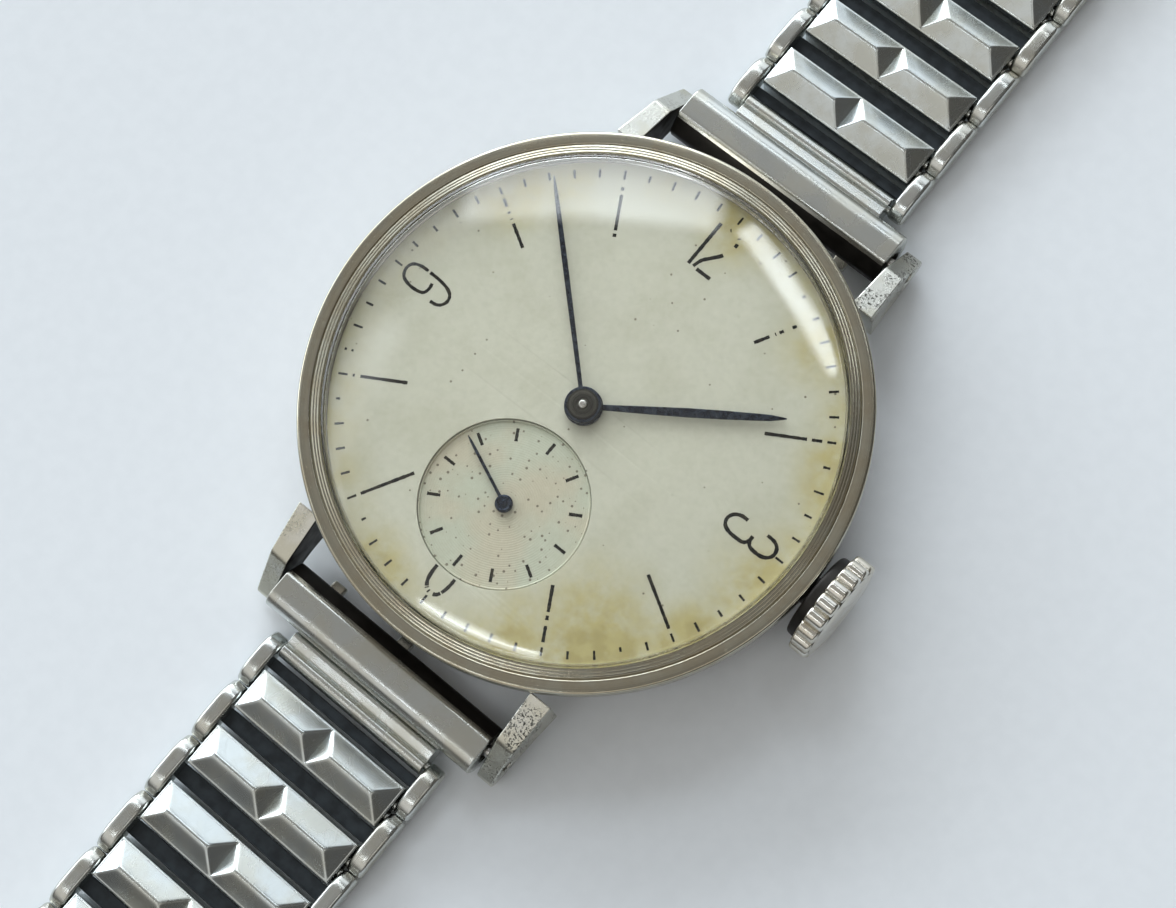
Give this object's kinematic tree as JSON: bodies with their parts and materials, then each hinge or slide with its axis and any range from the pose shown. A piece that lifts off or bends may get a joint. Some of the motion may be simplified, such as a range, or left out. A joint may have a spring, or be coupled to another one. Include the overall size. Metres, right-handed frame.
{
  "type": "mechanical wristwatch",
  "caption": "Round mechanical wristwatch with a domed crystal, small-seconds dial, fluted crown and an expanding steel bracelet laid open and flat, with its hand-wound movement inside.",
  "frame": {"origin": "centre of the flat face of the case back, which rests on the wrist or the table", "axes": "+X out of the crown at 3 o'clock, +Y along the bracelet towards 12 o'clock, +Z out of the crystal"},
  "size_m": [0.0374, 0.1463, 0.0084],
  "materials": {
    "case_steel": "brushed and lightly worn",
    "bracelet_steel": "polished with fine scratches",
    "crystal": "clear acrylic, domed",
    "dial": "silvered lacquer, aged towards the rim",
    "blued_steel": "heat-blued, nearly black",
    "nickel": "nickel-plated, matt",
    "brass": "gilt",
    "movement_steel": "ground"
  },
  "bodies": {
    "head": {"case_middle": "case_steel", "case_back": "case_steel", "bezel": "case_steel", "crystal": "crystal", "dial": "dial", "small_seconds_dial": "dial", "main_plate": "nickel", "barrel_bridge": "nickel", "train_bridge": "nickel", "balance_cock": "nickel", "hairspring": "blued_steel", "spring_bar_a": "bracelet_steel", "spring_bar_b": "bracelet_steel"},
    "fourth": {"fourth_wheel": "brass", "seconds_hand": "blued_steel"},
    "third": {"third_wheel": "brass"},
    "centre": {"centre_wheel": "brass", "cannon_pinion": "movement_steel", "minute_hand": "blued_steel"},
    "hour": {"hour_wheel": "brass", "hour_hand": "blued_steel"},
    "minute_works": {"minute_wheel": "brass"},
    "barrel": {"mainspring_barrel": "brass"},
    "escape": {"escape_wheel": "movement_steel"},
    "pallet": {"pallet_fork": "movement_steel"},
    "balance": {"balance_wheel": "brass"},
    "winding": {"winding_pinion": "movement_steel"},
    "crown": {"crown": "case_steel", "winding_stem": "movement_steel"},
    "crown_wheel": {"crown_wheel": "movement_steel"},
    "ratchet": {"ratchet_wheel": "movement_steel"},
    "end_a": {"end_piece_a": "bracelet_steel"},
    "links_a1": {"links_a1": "bracelet_steel"},
    "row_a1": {"row_a1": "bracelet_steel"},
    "links_a2": {"links_a2": "bracelet_steel"},
    "row_a2": {"row_a2": "bracelet_steel"},
    "links_a3": {"links_a3": "bracelet_steel"},
    "row_a3": {"row_a3": "bracelet_steel"},
    "links_a4": {"links_a4": "bracelet_steel"},
    "row_a4": {"row_a4": "bracelet_steel"},
    "links_a5": {"links_a5": "bracelet_steel"},
    "row_a5": {"row_a5": "bracelet_steel"},
    "links_a6": {"links_a6": "bracelet_steel"},
    "row_a6": {"row_a6": "bracelet_steel"},
    "clasp_hook": {"clasp_hook": "bracelet_steel"},
    "end_b": {"end_piece_b": "bracelet_steel"},
    "links_b1": {"links_b1": "bracelet_steel"},
    "row_b1": {"row_b1": "bracelet_steel"},
    "links_b2": {"links_b2": "bracelet_steel"},
    "row_b2": {"row_b2": "bracelet_steel"},
    "links_b3": {"links_b3": "bracelet_steel"},
    "row_b3": {"row_b3": "bracelet_steel"},
    "links_b4": {"links_b4": "bracelet_steel"},
    "row_b4": {"row_b4": "bracelet_steel"},
    "links_b5": {"links_b5": "bracelet_steel"},
    "row_b5": {"row_b5": "bracelet_steel"},
    "links_b6": {"links_b6": "bracelet_steel"},
    "row_b6": {"row_b6": "bracelet_steel"},
    "clasp_base": {"clasp_base": "bracelet_steel"},
    "clasp_cover": {"clasp_cover": "bracelet_steel"}
  },
  "joints": [
    {"name": "seconds_turn", "type": "hinge", "parent": "head", "child": "fourth", "pos_m": [0, -0.00756, 0.00274], "axis": [0, 0, -1], "continuous": true},
    {"name": "third_turn", "type": "hinge", "parent": "head", "child": "third", "pos_m": [0.00237, -0.00383, 0.00233], "axis": [0, 0, -1], "continuous": true},
    {"name": "minute_turn", "type": "hinge", "parent": "head", "child": "centre", "pos_m": [0, 0, 0.00272], "axis": [0, 0, -1], "continuous": true},
    {"name": "hour_turn", "type": "hinge", "parent": "head", "child": "hour", "pos_m": [0, 0, 0.00455], "axis": [0, 0, -1], "continuous": true},
    {"name": "minute_wheel_turn", "type": "hinge", "parent": "head", "child": "minute_works", "pos_m": [-0.00191, 0.0011, 0.00428], "axis": [0, 0, -1], "continuous": true},
    {"name": "barrel_turn", "type": "hinge", "parent": "head", "child": "barrel", "pos_m": [0.0023, 0.00631, 0.00135], "axis": [0, 0, -1], "continuous": true},
    {"name": "escape_turn", "type": "hinge", "parent": "head", "child": "escape", "pos_m": [-0.003, -0.00929, 0.00175], "axis": [0, 0, -1], "continuous": true},
    {"name": "pallet_swing", "type": "hinge", "parent": "head", "child": "pallet", "pos_m": [-0.00492, -0.00712, 0.00175], "axis": [0, 0, -1], "range_deg": [-5, 5]},
    {"name": "balance_swing", "type": "hinge", "parent": "head", "child": "balance", "pos_m": [-0.0084, -0.0032, 0.0022], "axis": [0, 0, -1], "range_deg": [-270, 270], "stiffness_Nm_per_rad": 0.00000007},
    {"name": "crown_turn", "type": "hinge", "parent": "head", "child": "winding", "pos_m": [0.00775, 0, 0.0036], "axis": [1, 0, 0], "continuous": true},
    {"name": "crown_pull", "type": "slide", "parent": "winding", "child": "crown", "axis": [1, 0, 0], "range_m": [0, 0.001]},
    {"name": "crown_wheel_turn", "type": "hinge", "parent": "head", "child": "crown_wheel", "pos_m": [0.0067, 0, 0.00079], "axis": [0, 0, 1], "continuous": true},
    {"name": "ratchet_turn", "type": "hinge", "parent": "head", "child": "ratchet", "pos_m": [0.0023, 0.00631, 0.00079], "axis": [0, 0, 1], "continuous": true},
    {"name": "end_piece_a_swing", "type": "hinge", "parent": "head", "child": "end_a", "pos_m": [0, 0.01945, 0.0019], "axis": [1, 0, 0], "range_deg": [-50, 20]},
    {"name": "links_a1_bend", "type": "hinge", "parent": "end_a", "child": "links_a1", "pos_m": [0, 0.0225, 0.00095], "axis": [1, 0, 0], "range_deg": [-16, 16]},
    {"name": "row_a1_stretch", "type": "slide", "parent": "links_a1", "child": "row_a1", "axis": [0, 1, 0], "range_m": [0, 0.0005], "stiffness_N_per_m": 300},
    {"name": "links_a2_bend", "type": "hinge", "parent": "row_a1", "child": "links_a2", "pos_m": [0, 0.02635, 0.00095], "axis": [1, 0, 0], "range_deg": [-16, 16]},
    {"name": "row_a2_stretch", "type": "slide", "parent": "links_a2", "child": "row_a2", "axis": [0, 1, 0], "range_m": [0, 0.0005], "stiffness_N_per_m": 300},
    {"name": "links_a3_bend", "type": "hinge", "parent": "row_a2", "child": "links_a3", "pos_m": [0, 0.0307, 0.00095], "axis": [1, 0, 0], "range_deg": [-16, 16]},
    {"name": "row_a3_stretch", "type": "slide", "parent": "links_a3", "child": "row_a3", "axis": [0, 1, 0], "range_m": [0, 0.0005], "stiffness_N_per_m": 300},
    {"name": "links_a4_bend", "type": "hinge", "parent": "row_a3", "child": "links_a4", "pos_m": [0, 0.03505, 0.00095], "axis": [1, 0, 0], "range_deg": [-16, 16]},
    {"name": "row_a4_stretch", "type": "slide", "parent": "links_a4", "child": "row_a4", "axis": [0, 1, 0], "range_m": [0, 0.0005], "stiffness_N_per_m": 300},
    {"name": "links_a5_bend", "type": "hinge", "parent": "row_a4", "child": "links_a5", "pos_m": [0, 0.0394, 0.00095], "axis": [1, 0, 0], "range_deg": [-16, 16]},
    {"name": "row_a5_stretch", "type": "slide", "parent": "links_a5", "child": "row_a5", "axis": [0, 1, 0], "range_m": [0, 0.0005], "stiffness_N_per_m": 300},
    {"name": "links_a6_bend", "type": "hinge", "parent": "row_a5", "child": "links_a6", "pos_m": [0, 0.04375, 0.00095], "axis": [1, 0, 0], "range_deg": [-16, 16]},
    {"name": "row_a6_stretch", "type": "slide", "parent": "links_a6", "child": "row_a6", "axis": [0, 1, 0], "range_m": [0, 0.0005], "stiffness_N_per_m": 300},
    {"name": "clasp_hook_bend", "type": "hinge", "parent": "row_a6", "child": "clasp_hook", "pos_m": [0, 0.0481, 0.00095], "axis": [1, 0, 0], "range_deg": [-16, 16]},
    {"name": "end_piece_b_swing", "type": "hinge", "parent": "head", "child": "end_b", "pos_m": [0, -0.01945, 0.0019], "axis": [-1, 0, 0], "range_deg": [-50, 20]},
    {"name": "links_b1_bend", "type": "hinge", "parent": "end_b", "child": "links_b1", "pos_m": [0, -0.0225, 0.00095], "axis": [-1, 0, 0], "range_deg": [-16, 16]},
    {"name": "row_b1_stretch", "type": "slide", "parent": "links_b1", "child": "row_b1", "axis": [0, -1, 0], "range_m": [0, 0.0005], "stiffness_N_per_m": 300},
    {"name": "links_b2_bend", "type": "hinge", "parent": "row_b1", "child": "links_b2", "pos_m": [0, -0.02635, 0.00095], "axis": [-1, 0, 0], "range_deg": [-16, 16]},
    {"name": "row_b2_stretch", "type": "slide", "parent": "links_b2", "child": "row_b2", "axis": [0, -1, 0], "range_m": [0, 0.0005], "stiffness_N_per_m": 300},
    {"name": "links_b3_bend", "type": "hinge", "parent": "row_b2", "child": "links_b3", "pos_m": [0, -0.0307, 0.00095], "axis": [-1, 0, 0], "range_deg": [-16, 16]},
    {"name": "row_b3_stretch", "type": "slide", "parent": "links_b3", "child": "row_b3", "axis": [0, -1, 0], "range_m": [0, 0.0005], "stiffness_N_per_m": 300},
    {"name": "links_b4_bend", "type": "hinge", "parent": "row_b3", "child": "links_b4", "pos_m": [0, -0.03505, 0.00095], "axis": [-1, 0, 0], "range_deg": [-16, 16]},
    {"name": "row_b4_stretch", "type": "slide", "parent": "links_b4", "child": "row_b4", "axis": [0, -1, 0], "range_m": [0, 0.0005], "stiffness_N_per_m": 300},
    {"name": "links_b5_bend", "type": "hinge", "parent": "row_b4", "child": "links_b5", "pos_m": [0, -0.0394, 0.00095], "axis": [-1, 0, 0], "range_deg": [-16, 16]},
    {"name": "row_b5_stretch", "type": "slide", "parent": "links_b5", "child": "row_b5", "axis": [0, -1, 0], "range_m": [0, 0.0005], "stiffness_N_per_m": 300},
    {"name": "links_b6_bend", "type": "hinge", "parent": "row_b5", "child": "links_b6", "pos_m": [0, -0.04375, 0.00095], "axis": [-1, 0, 0], "range_deg": [-16, 16]},
    {"name": "row_b6_stretch", "type": "slide", "parent": "links_b6", "child": "row_b6", "axis": [0, -1, 0], "range_m": [0, 0.0005], "stiffness_N_per_m": 300},
    {"name": "clasp_base_bend", "type": "hinge", "parent": "row_b6", "child": "clasp_base", "pos_m": [0, -0.0481, 0.00095], "axis": [-1, 0, 0], "range_deg": [-16, 16]},
    {"name": "clasp_cover_open", "type": "hinge", "parent": "clasp_base", "child": "clasp_cover", "pos_m": [0, -0.0851, 0.0013], "axis": [1, 0, 0], "range_deg": [0, 100]}
  ],
  "couplings": [
    {"joint": "third_turn", "follows": "seconds_turn", "ratio": -0.13333},
    {"joint": "minute_turn", "follows": "seconds_turn", "ratio": 0.016667},
    {"joint": "hour_turn", "follows": "seconds_turn", "ratio": 0.0013889},
    {"joint": "minute_wheel_turn", "follows": "seconds_turn", "ratio": -0.0055556},
    {"joint": "barrel_turn", "follows": "seconds_turn", "ratio": -0.0027778},
    {"joint": "escape_turn", "follows": "seconds_turn", "ratio": -10},
    {"joint": "crown_wheel_turn", "follows": "crown_turn", "ratio": 0.85714},
    {"joint": "ratchet_turn", "follows": "crown_turn", "ratio": -0.57764},
    {"joint": "row_a2_stretch", "follows": "row_a1_stretch", "ratio": 1},
    {"joint": "row_a3_stretch", "follows": "row_a1_stretch", "ratio": 1},
    {"joint": "row_a4_stretch", "follows": "row_a1_stretch", "ratio": 1},
    {"joint": "row_a5_stretch", "follows": "row_a1_stretch", "ratio": 1},
    {"joint": "row_a6_stretch", "follows": "row_a1_stretch", "ratio": 1},
    {"joint": "row_b1_stretch", "follows": "row_a1_stretch", "ratio": 1},
    {"joint": "row_b2_stretch", "follows": "row_a1_stretch", "ratio": 1},
    {"joint": "row_b3_stretch", "follows": "row_a1_stretch", "ratio": 1},
    {"joint": "row_b4_stretch", "follows": "row_a1_stretch", "ratio": 1},
    {"joint": "row_b5_stretch", "follows": "row_a1_stretch", "ratio": 1},
    {"joint": "row_b6_stretch", "follows": "row_a1_stretch", "ratio": 1}
  ]
}
